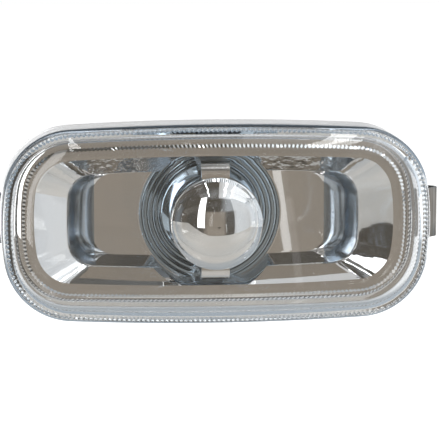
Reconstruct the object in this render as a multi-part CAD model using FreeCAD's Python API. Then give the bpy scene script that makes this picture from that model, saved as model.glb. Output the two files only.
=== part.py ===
"""Vehicle side indicator lamp, in millimetres.

X runs along the lamp, Y goes into the car (the lens faces -Y) and Z is up.
The origin is the centre of the seat plane, the rear face of the panel gasket.
"""
import math
import os

import FreeCAD
import Part

os.makedirs("parts", exist_ok=True)

V = FreeCAD.Vector

# Lens outline: a rectangle with bowed sides and round corners
LENS_LENGTH = 76.0
LENS_HEIGHT = 35.4
LONG_BOW_R = 480.0
END_BOW_R = 45.0
CORNER_R = 12.5

# Lens section
LENS_REAR_Y = -0.3
LENS_CROWN_Y = -14.0
LENS_CROWN_R = 640.0
LENS_WALL = 1.9
LENS_DRAFT = 0.012
SHOULDER_R = 6.0
INNER_SHOULDER_R = 4.1
SKIRT_WALL = 1.65
REBATE_WALL = 1.3

# Short V flutes on the inside of the lens wall, and matching teeth on the slope outside the rim
FLUTE_COUNT = 236
FLUTE_DEPTH = 0.35
FLUTE_REAR_Y = -8.2
FLUTE_FRONT_Y = -9.6
CUT_OVERLAP = 0.1

# Housing flange, rim and locating skirt
FLANGE_FRONT_Y = -3.3
FLANGE_REAR_Y = -1.5
FLANGE_FIT = 0.1
RIM_Y = -4.0
RIM_FOOT_INSET = 3.6
RIM_OUTER_INSET = 4.3
RIM_TOOTH_DEPTH = 0.3
RIM_INNER_INSET = 6.2
RIM_WALL = 1.6
SKIRT_INSET = 3.6
SKIRT_LENGTH = 4.5
WALL = 1.6

# Reflector tray: a sloped band with end ledges reaches in to the lip, steep walls go down from there, and
# gentle ramps at the ends lead to the floor
LIP_Y = -0.8
LIP_LENGTH = 51.8
LIP_HEIGHT = 17.4
LIP_CORNER_R = 4.5
RAMP_TOP_Y = 5.6
RAMP_TOP_LENGTH = 49.0
RAMP_TOP_HEIGHT = 15.8
RAMP_TOP_CORNER_R = 4.2
RAMP_MID_Y = 6.6
RAMP_MID_LENGTH = 46.2
RAMP_MID_HEIGHT = 15.5
RAMP_MID_CORNER_R = 3.9
FLOOR_Y = 7.2
FLOOR_LENGTH = 42.6
FLOOR_HEIGHT = 15.4
FLOOR_CORNER_R = 3.6
TRAY_LONG_BOW_R = 420.0
TRAY_END_BOW_R = 60.0
LIP_ROUND = 0.8

# Round well, its stepped dish round the bulb hole, and the bulb port behind the dish
WELL_R = 12.9
WELL_WALL = 1.5
DISH_Y = 9.0
DISH_R = 6.2
DISH_STEPS = 7
DISH_WALL = 1.1
LUG_POCKET_R = 9.3
PORT_FRONT_Y = 11.8
PORT_R = 8.0
PORT_BOSS_R = 11.4
PORT_REAR_Y = 15.8

# Bayonet
LUG_COUNT = 3
LUG_R = 8.8
LUG_WIDTH = 3.6
LUG_THICKNESS = 1.5
LUG_GAP = 0.15
NOTCH_FIT = 0.25
LOCK_ANGLE = 40.0
FIRST_LUG_ANGLE = -40.0

# Bulb shield
BALL_R = 8.2
BALL_CAP_R = 10.8
BALL_EDGE_R = 0.6
BALL_WALL = 1.1
BALL_FRONT_Y = -11.6
BALL_REAR_Y = -3.6
ARM_THICKNESS = 1.4
ARM_ROUND = 1.9
LEG_WIDTH = 5.0
LEG_THICKNESS = 1.3
LEG_OUTER_R = 10.5
LEG_FIT = 0.1
LEG_FOOT_Y = 10.6

# Holder
STEM_R = 7.75
HOLDER_FLANGE_R = 11.8
HOLDER_FLANGE_THICKNESS = 2.0
SEAL_THICKNESS = 1.0
SEAL_INNER_R = 9.4
SEAL_OUTER_R = 11.2
SHROUD_LENGTH = 13.4
SHROUD_HEIGHT = 9.8
SHROUD_WALL = 1.3
SHROUD_CORNER_R = 1.2
SHROUD_FLOOR_Y = 20.5
SHROUD_MOUTH_Y = 31.0
GRIP_THICKNESS = 2.0
GRIP_SPAN = 21.0
GRIP_LENGTH = 7.0

# Bulb
BULB_R = 5.0
BULB_TIP_Y = -9.5
NECK_START_Y = 3.6
NECK_END_Y = 6.0
NECK_R = 2.6
WEDGE_WIDTH = 9.2
WEDGE_THICKNESS = 2.1
WEDGE_START_Y = 4.6
WEDGE_END_Y = 16.9
WEDGE_FIT = 0.2
WEDGE_POCKET_END_Y = 18.1

# Lead wires and contacts
WIRE_R = 0.25
WIRE_GAP = 0.05
WIRE_X = 2.7
WIRE_FRONT_Y = 12.0
CONTACT_WIDTH = 2.2
CONTACT_THICKNESS = 0.5
CONTACT_FRONT_Y = 10.6
CONTACT_BEND_Y = 18.4
BLADE_START_Y = 20.2
BLADE_TIP_Y = 26.4
CONTACT_BEND_R = 0.6
CONTACT_CLEARANCE = 0.3

# Panel gasket
GASKET_OUTER_INSET = 1.6
GASKET_INNER_INSET = 3.45

# Spring clip and its tongue, fixed nose at the other end
CLIP_THICKNESS = 0.5
CLIP_WIDTH = 9.0
CLIP_REACH = 2.6
CLIP_CREST_Y = 5.4
CLIP_TIP_Y = 2.7
CLIP_TIP_INWARD = 2.4
CLIP_FOLD_R = 0.8
CLIP_CREST_R = 1.6
CLIP_LEG_FRONT_Y = 6.2
TONGUE_THICKNESS = 1.5
TONGUE_WIDTH = 11.0
TONGUE_REAR_Y = 12.0
TONGUE_GAP = 0.05
TONGUE_STEP = 0.7
TONGUE_ROUND = 0.65
CLIP_WINDOW_WIDTH = 3.6
CLIP_WINDOW_LENGTH = 2.2
CLIP_WINDOW_Y = 8.6
NUB_FIT = 0.15
NUB_HEIGHT = 0.45
NOSE_LENGTH = 3.6
NOSE_WIDTH = 9.0
NOSE_FRONT_Y = 2.3


def corner_centre(half_length, half_height, long_r, end_r, corner_r):
    """Centre of the corner circle that touches the long bow and the end bow from inside."""
    ax, az, ar = 0.0, half_height - long_r, long_r - corner_r
    bx, bz, br = half_length - end_r, 0.0, end_r - corner_r
    dx, dz = bx - ax, bz - az
    gap = math.hypot(dx, dz)
    along = (ar * ar - br * br + gap * gap) / (2.0 * gap)
    across = math.sqrt(ar * ar - along * along)
    return (ax + (along * dx + across * dz) / gap, az + (along * dz - across * dx) / gap)


def outline_arcs(half_length, half_height, long_r, end_r, corner_r):
    """Eight arcs of a bowed rectangle in the XZ plane: (centre, radius, start angle, end angle)."""
    cx, cz = corner_centre(half_length, half_height, long_r, end_r, corner_r)
    low = math.atan2(cz, cx - half_length + end_r)
    high = math.atan2(cz - half_height + long_r, cx)
    quarter = [
        ((half_length - end_r, 0.0), end_r, 0.0, low),
        ((cx, cz), corner_r, low, high),
        ((0.0, half_height - long_r), long_r, high, math.pi / 2.0),
    ]
    right, corner, top = quarter
    pi = math.pi
    return [
        (right[0], end_r, -low, low),
        (corner[0], corner_r, low, high),
        (top[0], long_r, high, pi - high),
        ((-cx, cz), corner_r, pi - high, pi - low),
        ((end_r - half_length, 0.0), end_r, pi - low, pi + low),
        ((-cx, -cz), corner_r, pi + low, pi + high),
        ((0.0, long_r - half_height), long_r, pi + high, 2.0 * pi - high),
        ((cx, -cz), corner_r, 2.0 * pi - high, 2.0 * pi - low),
    ]


def lens_arcs(inset):
    return outline_arcs(LENS_LENGTH / 2.0 - inset, LENS_HEIGHT / 2.0 - inset, LONG_BOW_R - inset,
                        END_BOW_R - inset, CORNER_R - inset)


def tray_arcs(length, height, corner_r, grow=0.0):
    return outline_arcs(length / 2.0 + grow, height / 2.0 + grow, TRAY_LONG_BOW_R + grow,
                        TRAY_END_BOW_R + grow, corner_r + grow)


def arc_point(arc, share, y, inward=0.0):
    (cx, cz), radius, start, end = arc
    angle = start + (end - start) * share
    return V(cx + (radius - inward) * math.cos(angle), y, cz + (radius - inward) * math.sin(angle))


def outline_wire(arcs, y):
    edges = [Part.Arc(arc_point(a, 0.0, y), arc_point(a, 0.5, y), arc_point(a, 1.0, y)).toShape()
             for a in arcs]
    return Part.Wire(edges)


def prism(arcs, y_start, y_end):
    return Part.Face(outline_wire(arcs, y_start)).extrude(V(0, y_end - y_start, 0))


def ruled_solid(sections):
    """Solid through (arcs, y) sections with straight walls between them."""
    return Part.makeLoft([outline_wire(arcs, y) for arcs, y in sections], True, True)


def box(x0, x1, y0, y1, z0, z1):
    return Part.makeBox(x1 - x0, y1 - y0, z1 - z0, V(x0, y0, z0))


def cylinder(radius, y0, y1):
    return Part.makeCylinder(radius, y1 - y0, V(0, y0, 0), V(0, 1, 0))


def revolve(profile):
    """Full turn about the Y axis of a closed (radius, y) polygon."""
    points = [V(r, y, 0) for r, y in profile]
    face = Part.Face(Part.makePolygon(points + points[:1]))
    return face.revolve(V(0, 0, 0), V(0, 1, 0), 360)


def turned(shape, degrees):
    copy = shape.copy()
    copy.rotate(V(0, 0, 0), V(0, 1, 0), degrees)
    return copy


def fuse_all(shapes):
    return shapes[0].multiFuse(shapes[1:]).removeSplitter()


def bent_strip(points, bends, thickness, place, across):
    """Folded strip: the middle line through 2-D points gets a round bend at each inner point, then is
    thickened and extruded."""
    half = thickness / 2.0
    left, right = [], []
    for i, (px, py) in enumerate(points):
        before = points[i - 1] if i else None
        after = points[i + 1] if i + 1 < len(points) else None
        if before is None or after is None:
            qx, qy = after or before
            sign = 1.0 if after else -1.0
            length = math.hypot(qx - px, qy - py)
            nx, ny = -sign * (qy - py) / length, sign * (qx - px) / length
            left.append(((px + nx * half, py + ny * half),))
            right.append(((px - nx * half, py - ny * half),))
            continue
        ux, uy = px - before[0], py - before[1]
        vx, vy = after[0] - px, after[1] - py
        ul, vl = math.hypot(ux, uy), math.hypot(vx, vy)
        ux, uy, vx, vy = ux / ul, uy / ul, vx / vl, vy / vl
        turn = math.atan2(ux * vy - uy * vx, ux * vx + uy * vy)
        side = 1.0 if turn > 0 else -1.0
        bend_r = bends[i - 1]
        back = bend_r * math.tan(abs(turn) / 2.0)
        ox, oy = px - ux * back - side * uy * bend_r, py - uy * back + side * ux * bend_r
        start = math.atan2(py - uy * back - oy, px - ux * back - ox)
        for line, shift in ((left, -side * half), (right, side * half)):
            line.append(tuple((ox + (bend_r + shift) * math.cos(start + turn * k),
                               oy + (bend_r + shift) * math.sin(start + turn * k)) for k in (0.0, 0.5, 1.0)))
    edges = []
    loop = left + [tuple(reversed(item)) for item in reversed(right)]
    for item, following in zip(loop, loop[1:] + loop[:1]):
        if len(item) == 3:
            edges.append(Part.Arc(*[place(*p) for p in item]).toShape())
        edges.append(Part.makeLine(place(*item[-1]), place(*following[0])))
    return Part.Face(Part.Wire(edges)).extrude(across)


def round_edges(shape, radius, wanted):
    edges = [e for e in shape.Edges if wanted(e)]
    return shape.makeFillet(radius, edges)


def toothed_frustum(rear_inset, rear_y, front_inset, front_y, depth):
    """Solid between two lens outlines whose wall is a row of V teeth."""
    def ring(inset, y):
        arcs = lens_arcs(inset)
        lengths = [a[1] * (a[3] - a[2]) for a in arcs]
        total = sum(lengths)
        points = []
        for k in range(2 * FLUTE_COUNT):
            rest = total * k / (2 * FLUTE_COUNT)
            for arc, length in zip(arcs, lengths):
                if rest <= length:
                    break
                rest -= length
            points.append(arc_point(arc, min(rest / length, 1.0), y, depth if k % 2 else 0.0))
        return points

    rear = ring(rear_inset, rear_y)
    front = ring(front_inset, front_y)
    count = len(rear)
    faces = [Part.Face(Part.makePolygon(rear + rear[:1])), Part.Face(Part.makePolygon(front + front[:1]))]
    for k in range(count):
        n = (k + 1) % count
        faces.append(Part.Face(Part.makePolygon([rear[k], rear[n], front[n], rear[k]])))
        faces.append(Part.Face(Part.makePolygon([rear[k], front[n], front[k], rear[k]])))
    shell = Part.makeShell(faces)
    shell.sewShape()
    solid = Part.Solid(shell)
    if solid.Volume < 0:
        solid.reverse()
    return solid


def crowned_block(inset, draft, rear_y, crown_r, edge_r):
    """Prism of the lens outline with a slightly domed front and a round front edge."""
    depth = rear_y - LENS_CROWN_Y
    block = ruled_solid([(lens_arcs(inset), rear_y),
                         (lens_arcs(inset + draft * depth), LENS_CROWN_Y - CUT_OVERLAP)])
    block = block.common(Part.makeSphere(crown_r, V(0, LENS_CROWN_Y + LENS_CROWN_R, 0)))
    front_limit = rear_y - depth / 2.0
    edges = [e for e in block.Edges if e.BoundBox.YMax < front_limit and e.BoundBox.YLength < 2.0]
    return block.makeFillet(edge_r, edges)


def make_lens():
    body = crowned_block(0.0, LENS_DRAFT, LENS_REAR_Y, LENS_CROWN_R, SHOULDER_R)
    rebate = prism(lens_arcs(REBATE_WALL), LENS_REAR_Y + CUT_OVERLAP, FLANGE_FRONT_Y)
    bore = prism(lens_arcs(SKIRT_WALL), LENS_REAR_Y + CUT_OVERLAP, FLUTE_REAR_Y)
    flutes = toothed_frustum(SKIRT_WALL, FLUTE_REAR_Y + CUT_OVERLAP, SKIRT_WALL, FLUTE_FRONT_Y, FLUTE_DEPTH)
    front = crowned_block(SKIRT_WALL + FLUTE_DEPTH, 0.0, FLANGE_FRONT_Y, LENS_CROWN_R - LENS_WALL,
                          INNER_SHOULDER_R)
    for tool in (rebate, bore, flutes, front):
        body = body.cut(tool)
    return body


def wall_sections(grow):
    return [
        (tray_arcs(LIP_LENGTH, LIP_HEIGHT, LIP_CORNER_R, grow), LIP_Y + grow),
        (tray_arcs(RAMP_TOP_LENGTH, RAMP_TOP_HEIGHT, RAMP_TOP_CORNER_R, grow), RAMP_TOP_Y + grow),
    ]


def ramp_sections(grow):
    return [
        (tray_arcs(RAMP_TOP_LENGTH, RAMP_TOP_HEIGHT, RAMP_TOP_CORNER_R, grow), RAMP_TOP_Y + grow),
        (tray_arcs(RAMP_MID_LENGTH, RAMP_MID_HEIGHT, RAMP_MID_CORNER_R, grow), RAMP_MID_Y + grow),
        (tray_arcs(FLOOR_LENGTH, FLOOR_HEIGHT, FLOOR_CORNER_R, grow), FLOOR_Y + grow),
    ]


def curved_solid(sections):
    """Solid through (arcs, y) sections with smoothly curved walls."""
    return Part.makeLoft([outline_wire(arcs, y) for arcs, y in sections], True, False)


def ring_edges(shape, y):
    return [e for e in shape.Edges if abs(e.BoundBox.YMin - y) < 0.01 and abs(e.BoundBox.YMax - y) < 0.01]


def tray_cavity():
    """Space in front of the reflecting face: sloped band, end ledges, lip, steep walls, ramps and floor."""
    walls = wall_sections(0.0)
    rim = (lens_arcs(RIM_INNER_INSET), RIM_Y)
    front = prism(rim[0], RIM_Y - 1.0, RIM_Y)
    cavity = fuse_all([front, ruled_solid([rim, walls[0]]), ruled_solid(walls)])
    cavity = cavity.makeFillet(LIP_ROUND, ring_edges(cavity, LIP_Y))
    return fuse_all([cavity, curved_solid(ramp_sections(0.0))])


def tray_shell():
    band = prism(lens_arcs(RIM_OUTER_INSET + RIM_TOOTH_DEPTH), RIM_Y, LIP_Y + WALL)
    return [band, ruled_solid(wall_sections(WALL)), curved_solid(ramp_sections(WALL))]


def well_drum(radius, rim_inset, front_y, rear_y):
    """Drum about the Y axis, kept inside the rim above and below."""
    return cylinder(radius, front_y, rear_y).common(prism(lens_arcs(rim_inset), front_y, rear_y))


def dish():
    """Stepped dish from the well's floor in to the bulb hole, with the bayonet pocket and port behind it."""
    fall = (DISH_Y - FLOOR_Y) / DISH_STEPS
    run = (WELL_R - DISH_R) / DISH_STEPS
    line = [(WELL_R, FLOOR_Y)]
    for k in range(1, DISH_STEPS + 1):
        line.append((WELL_R - run * (k - 0.25), FLOOR_Y + fall * (k - 0.8)))
        line.append((WELL_R - run * k, FLOOR_Y + fall * k))
    pocket_y = DISH_Y + DISH_WALL
    line += [(DISH_R, pocket_y), (LUG_POCKET_R, pocket_y), (LUG_POCKET_R, PORT_FRONT_Y)]
    line += [(PORT_R, PORT_FRONT_Y), (PORT_R, PORT_REAR_Y), (PORT_BOSS_R, PORT_REAR_Y)]
    line += [(PORT_BOSS_R, pocket_y), (WELL_R, FLOOR_Y + WALL)]
    return revolve(line)


def clip_line():
    """Middle line of the spring clip in the XY plane."""
    outer_x = TONGUE_X + TONGUE_THICKNESS + TONGUE_GAP + CLIP_THICKNESS / 2.0
    inner_x = TONGUE_X - TONGUE_GAP - CLIP_THICKNESS / 2.0
    rear_y = TONGUE_REAR_Y + TONGUE_GAP + CLIP_THICKNESS / 2.0
    crest_x = LENS_LENGTH / 2.0 + CLIP_REACH - CLIP_THICKNESS / 2.0
    return [(inner_x, CLIP_LEG_FRONT_Y), (inner_x, rear_y), (outer_x, rear_y),
            (outer_x + CLIP_THICKNESS, rear_y - 3.0 * CLIP_THICKNESS),
            (crest_x + CLIP_THICKNESS, CLIP_CREST_Y), (crest_x - CLIP_TIP_INWARD, CLIP_TIP_Y)]


def leg_box(sign, fit, front_y, rear_y):
    inner = LEG_OUTER_R - LEG_THICKNESS - fit
    outer = LEG_OUTER_R + fit
    half = LEG_WIDTH / 2.0 + fit
    low, high = sorted((sign * inner, sign * outer))
    return box(-half, half, front_y, rear_y, low, high)


def make_housing():
    flange = prism(lens_arcs(REBATE_WALL + FLANGE_FIT), FLANGE_FRONT_Y, FLANGE_REAR_Y)
    slope_rear_y = FLANGE_FRONT_Y + CUT_OVERLAP
    slope = toothed_frustum(RIM_FOOT_INSET, slope_rear_y, RIM_OUTER_INSET, RIM_Y, RIM_TOOTH_DEPTH)
    outer = fuse_all([flange, slope])
    hollow = prism(lens_arcs(RIM_OUTER_INSET + RIM_WALL), RIM_Y + RIM_WALL, SKIRT_LENGTH)
    outer = outer.cut(hollow)
    skirt = prism(lens_arcs(SKIRT_INSET), FLANGE_REAR_Y, SKIRT_LENGTH)
    skirt = skirt.cut(prism(lens_arcs(SKIRT_INSET + WALL), FLANGE_REAR_Y, SKIRT_LENGTH))
    tongue = box(TONGUE_X, TONGUE_X + TONGUE_THICKNESS, FLANGE_REAR_Y, TONGUE_REAR_Y,
                 -TONGUE_WIDTH / 2.0, TONGUE_WIDTH / 2.0)
    tongue = round_edges(tongue, TONGUE_ROUND,
                         lambda e: e.BoundBox.YMin > TONGUE_REAR_Y - 0.01 and e.BoundBox.ZLength > 1.0)
    nub_half = CLIP_WINDOW_WIDTH / 2.0 - NUB_FIT
    nub_reach = CLIP_WINDOW_LENGTH / 2.0 - NUB_FIT
    nub = box(TONGUE_X - NUB_HEIGHT, TONGUE_X, CLIP_WINDOW_Y - nub_reach, CLIP_WINDOW_Y + nub_reach,
              -nub_half, nub_half)
    skirt_end = LENS_LENGTH / 2.0 - SKIRT_INSET
    nose = box(-skirt_end - NOSE_LENGTH, -skirt_end + WALL, NOSE_FRONT_Y, SKIRT_LENGTH,
               -NOSE_WIDTH / 2.0, NOSE_WIDTH / 2.0)
    nose = round_edges(nose, 0.8, lambda e: e.BoundBox.XMax < -skirt_end and e.BoundBox.ZLength > 1.0)
    well_shell = well_drum(WELL_R + WELL_WALL, RIM_INNER_INSET - WELL_WALL, RIM_Y, FLOOR_Y + WALL)
    housing = fuse_all([outer, skirt, tongue, nub, nose] + tray_shell() + [well_shell])
    housing = housing.cut(tray_cavity()).cut(well_drum(WELL_R, RIM_INNER_INSET, RIM_Y - 1.0, PORT_REAR_Y))
    housing = fuse_all([housing, dish()])
    notch_half = LUG_WIDTH / 2.0 + NOTCH_FIT
    notch = box(0.0, LUG_R + NOTCH_FIT, PORT_FRONT_Y - CUT_OVERLAP, PORT_REAR_Y + 1.0,
                -notch_half, notch_half)
    for k in range(LUG_COUNT):
        housing = housing.cut(turned(notch, FIRST_LUG_ANGLE + LOCK_ANGLE + 360.0 * k / LUG_COUNT))
    for sign in (1.0, -1.0):
        housing = housing.cut(leg_box(sign, LEG_FIT, RIM_Y, LEG_FOOT_Y))
    return housing


def capped_drum(radius, cap_r, front_y, rear_y):
    """Drum about the Y axis with a domed front."""
    def on_cap(r):
        return V(r, front_y + cap_r - math.sqrt(cap_r * cap_r - r * r), 0)
    arc = Part.Arc(on_cap(0.0), on_cap(radius / 2.0), on_cap(radius)).toShape()
    points = [on_cap(radius), V(radius, rear_y, 0), V(0, rear_y, 0), on_cap(0.0)]
    edges = [arc] + [Part.makeLine(a, b) for a, b in zip(points, points[1:])]
    return Part.Face(Part.Wire(edges)).revolve(V(0, 0, 0), V(0, 1, 0), 360)


def make_shield():
    inner_r = BALL_R - BALL_WALL
    arm_y = BALL_REAR_Y - ARM_THICKNESS
    shield = capped_drum(BALL_R, BALL_CAP_R, BALL_FRONT_Y, BALL_REAR_Y)
    shield = round_edges(shield, BALL_EDGE_R, lambda e: e.BoundBox.YLength < 0.01 and e.BoundBox.YMax < arm_y
                         and e.BoundBox.XLength > BALL_R)
    inside = capped_drum(inner_r, BALL_CAP_R - BALL_WALL, BALL_FRONT_Y + BALL_WALL, BALL_REAR_Y + 1.0)
    shield = shield.cut(inside)
    for sign in (1.0, -1.0):
        low, high = sorted((sign * inner_r, sign * (LEG_OUTER_R - LEG_THICKNESS / 2.0)))
        arm = box(-LEG_WIDTH / 2.0, LEG_WIDTH / 2.0, arm_y, BALL_REAR_Y, low, high)
        leg = fuse_all([arm, leg_box(sign, 0.0, arm_y, LEG_FOOT_Y)])
        shield = shield.fuse(leg.cut(cylinder(inner_r, arm_y - 1.0, BALL_REAR_Y + 1.0)))
    shield = shield.removeSplitter()
    corner = lambda e: (e.BoundBox.XLength > LEG_WIDTH - 0.1 and e.BoundBox.YLength < 0.01
                        and e.BoundBox.YMin > arm_y - 0.01 and e.BoundBox.YMax < arm_y + 0.01
                        and abs(e.BoundBox.ZMin) > LEG_OUTER_R - 0.01)
    return round_edges(shield, ARM_ROUND, corner)


def make_bulb():
    centre_y = BULB_TIP_Y + BULB_R
    glass = Part.makeSphere(BULB_R, V(0, centre_y, 0)).common(
        box(-BULB_R, BULB_R, BULB_TIP_Y - 1.0, centre_y, -BULB_R, BULB_R))
    glass = glass.fuse(cylinder(BULB_R, centre_y, NECK_START_Y))
    neck = Part.makeCone(BULB_R, NECK_R, NECK_END_Y - NECK_START_Y, V(0, NECK_START_Y, 0), V(0, 1, 0))
    half = WEDGE_THICKNESS / 2.0
    wedge = box(-WEDGE_WIDTH / 2.0, WEDGE_WIDTH / 2.0, WEDGE_START_Y, WEDGE_END_Y, -half, half)
    wedge = round_edges(wedge, 0.5, lambda e: e.BoundBox.YLength > 1.0)
    return fuse_all([glass, neck, wedge])


def make_lead_wires():
    """Each wire leaves the wedge's end, turns back and lies along one flat of the wedge."""
    lift = WEDGE_THICKNESS / 2.0 + WIRE_R + WIRE_GAP
    wires = []
    for side in (-1.0, 1.0):
        x, z = side * WIRE_X, -side * lift
        arc = Part.Arc(V(x, WEDGE_END_Y, 0), V(x, WEDGE_END_Y + lift / 2.0, z / 2.0), V(x, WEDGE_END_Y, z))
        path = Part.Wire([arc.toShape(), Part.makeLine(V(x, WEDGE_END_Y, z), V(x, WIRE_FRONT_Y, z))])
        section = Part.Wire(Part.makeCircle(WIRE_R, V(x, WEDGE_END_Y, 0), V(0, 1, 0)))
        wires.append(path.makePipeShell([section], True, False))
    return Part.makeCompound(wires)


def contact_height():
    wire_top = WEDGE_THICKNESS / 2.0 + 2.0 * WIRE_R + WIRE_GAP
    return wire_top + WIRE_GAP + CONTACT_THICKNESS / 2.0


def make_contact(side):
    z = -side * contact_height()
    line = [(CONTACT_FRONT_Y, z), (CONTACT_BEND_Y, z), (BLADE_START_Y, 0.0), (BLADE_TIP_Y, 0.0)]
    x = side * WIRE_X - CONTACT_WIDTH / 2.0
    return bent_strip(line, [CONTACT_BEND_R] * 2, CONTACT_THICKNESS, lambda y, h: V(x, y, h),
                      V(CONTACT_WIDTH, 0, 0))


def make_holder(contacts):
    lug_rear_y = PORT_FRONT_Y - LUG_GAP
    lug_front_y = lug_rear_y - LUG_THICKNESS
    flange_front_y = PORT_REAR_Y + SEAL_THICKNESS
    flange_rear_y = flange_front_y + HOLDER_FLANGE_THICKNESS
    stem = cylinder(STEM_R, lug_front_y, flange_front_y)
    flange = cylinder(HOLDER_FLANGE_R, flange_front_y, flange_rear_y)
    lugs = []
    lug = box(NECK_R, LUG_R, lug_front_y, lug_rear_y, -LUG_WIDTH / 2.0, LUG_WIDTH / 2.0)
    lug = lug.common(cylinder(LUG_R, lug_front_y, lug_rear_y))
    for k in range(LUG_COUNT):
        lugs.append(turned(lug, FIRST_LUG_ANGLE + 360.0 * k / LUG_COUNT))
    half_x, half_z = SHROUD_LENGTH / 2.0, SHROUD_HEIGHT / 2.0
    along_y = lambda e: e.BoundBox.YLength > 1.0
    shroud = box(-half_x, half_x, flange_front_y, SHROUD_MOUTH_Y, -half_z, half_z)
    shroud = round_edges(shroud, SHROUD_CORNER_R, along_y)
    grip = box(-GRIP_THICKNESS / 2.0, GRIP_THICKNESS / 2.0, flange_front_y, flange_rear_y + GRIP_LENGTH,
               -GRIP_SPAN / 2.0, GRIP_SPAN / 2.0)
    grip = round_edges(grip, 2.5, lambda e: e.BoundBox.XLength > 1.0 and e.BoundBox.YMin > flange_rear_y)
    holder = fuse_all([stem, flange, shroud, grip] + lugs)
    socket = box(-half_x + SHROUD_WALL, half_x - SHROUD_WALL, SHROUD_FLOOR_Y, SHROUD_MOUTH_Y + 1.0,
                 -half_z + SHROUD_WALL, half_z - SHROUD_WALL)
    socket = round_edges(socket, SHROUD_CORNER_R / 2.0, along_y)
    pocket_x = WEDGE_WIDTH / 2.0 + WEDGE_FIT
    pocket_z = WEDGE_THICKNESS / 2.0 + WEDGE_FIT
    pocket = box(-pocket_x, pocket_x, lug_front_y - 1.0, WEDGE_POCKET_END_Y, -pocket_z, pocket_z)
    holder = holder.cut(socket).cut(pocket)
    reach_x = CONTACT_WIDTH / 2.0 + CONTACT_CLEARANCE
    reach_z = contact_height() + CONTACT_THICKNESS / 2.0 + CONTACT_CLEARANCE
    for side in (-1.0, 1.0):
        low, high = sorted((0.0, -side * reach_z))
        channel = box(side * WIRE_X - reach_x, side * WIRE_X + reach_x, lug_front_y - 1.0,
                      WEDGE_POCKET_END_Y, low, high)
        holder = holder.cut(channel)
    for contact in contacts:
        holder = holder.cut(contact)
    return holder


def make_seal():
    ring = cylinder(SEAL_OUTER_R, PORT_REAR_Y, PORT_REAR_Y + SEAL_THICKNESS)
    return ring.cut(cylinder(SEAL_INNER_R, PORT_REAR_Y, PORT_REAR_Y + SEAL_THICKNESS))


def make_gasket():
    ring = prism(lens_arcs(GASKET_OUTER_INSET), FLANGE_REAR_Y, 0.0)
    return ring.cut(prism(lens_arcs(GASKET_INNER_INSET), FLANGE_REAR_Y, 0.0))


def make_clip():
    half = CLIP_WIDTH / 2.0
    bends = [CLIP_FOLD_R, CLIP_FOLD_R, CLIP_CREST_R, CLIP_CREST_R]
    clip = bent_strip(clip_line(), bends, CLIP_THICKNESS, lambda x, y: V(x, y, -half), V(0, 0, CLIP_WIDTH))
    window = box(TONGUE_X - 2.0, TONGUE_X, CLIP_WINDOW_Y - CLIP_WINDOW_LENGTH / 2.0,
                 CLIP_WINDOW_Y + CLIP_WINDOW_LENGTH / 2.0, -CLIP_WINDOW_WIDTH / 2.0, CLIP_WINDOW_WIDTH / 2.0)
    return clip.cut(window)


TONGUE_X = LENS_LENGTH / 2.0 - SKIRT_INSET - WALL - TONGUE_STEP

contact_left = make_contact(-1.0)
contact_right = make_contact(1.0)
nodes = {
    "lens": make_lens(),
    "reflector_housing": make_housing(),
    "bulb_shield": make_shield(),
    "bulb": make_bulb(),
    "bulb_lead_wires": make_lead_wires(),
    "bulb_holder": make_holder([contact_left, contact_right]),
    "contact_left": contact_left,
    "contact_right": contact_right,
    "holder_seal": make_seal(),
    "panel_gasket": make_gasket(),
    "spring_clip": make_clip(),
}
for name, shape in nodes.items():
    shape.exportStep("parts/%s.step" % name)
    print(name, "solids", len(shape.Solids), "valid", shape.isValid(), "volume %.1f" % shape.Volume,
          "faces", len(shape.Faces))
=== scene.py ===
# %% [markdown]
# # A vehicle indicator lamp
# This lesson dresses the CAD model of a small side lamp: a clear fluted lens over a bright reflector,
# with a chromed ball in the middle that hides the bulb. The CAD solids are loaded first and stay where
# they are, so every new piece can be measured from them.

# %% Load the frame
import math

import bmesh
import bpy
import numpy as np
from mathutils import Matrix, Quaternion, Vector


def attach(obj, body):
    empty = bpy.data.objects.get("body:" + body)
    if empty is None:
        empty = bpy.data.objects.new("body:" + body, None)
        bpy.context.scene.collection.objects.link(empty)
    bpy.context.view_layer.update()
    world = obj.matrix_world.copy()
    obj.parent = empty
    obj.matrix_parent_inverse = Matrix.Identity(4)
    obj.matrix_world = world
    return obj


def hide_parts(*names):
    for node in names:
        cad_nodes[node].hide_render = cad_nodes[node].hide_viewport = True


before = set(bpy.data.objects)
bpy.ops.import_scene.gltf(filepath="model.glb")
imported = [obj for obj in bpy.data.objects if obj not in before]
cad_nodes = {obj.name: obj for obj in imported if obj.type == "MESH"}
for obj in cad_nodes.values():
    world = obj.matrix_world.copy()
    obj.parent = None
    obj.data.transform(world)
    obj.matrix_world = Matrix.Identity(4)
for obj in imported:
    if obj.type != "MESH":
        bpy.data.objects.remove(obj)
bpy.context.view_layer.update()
MM = 0.001
print("CAD nodes:", sorted(cad_nodes))

# %% [markdown]
# ## Camera
# The photograph looks almost straight at the lens, from a little above and a little to the left, with a
# long lens that keeps the outline nearly free of perspective. The picture's scale is known from the
# length of the lamp, so the field of view follows from one distance. Light bounces many times between
# the lens and the bright tray, so the bounce limits are raised as well.

# %% Place the camera
PHOTO_SIDE_PX = 440
PX_PER_MM = 5.625
CAMERA_AZIMUTH = math.radians(-5.5)
CAMERA_ELEVATION = math.radians(8.0)
CAMERA_DISTANCE = 450 * MM
LENS_PLANE_Y = -3.3 * MM
AIM_SHIFT_X = 0.98 * MM
SENSOR_WIDTH = 36.0
CLIP_START = 0.01
CLIP_END = 20.0
MAX_BOUNCES = 40
GLOSSY_BOUNCES = 24
TRANSMISSION_BOUNCES = 32

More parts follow.
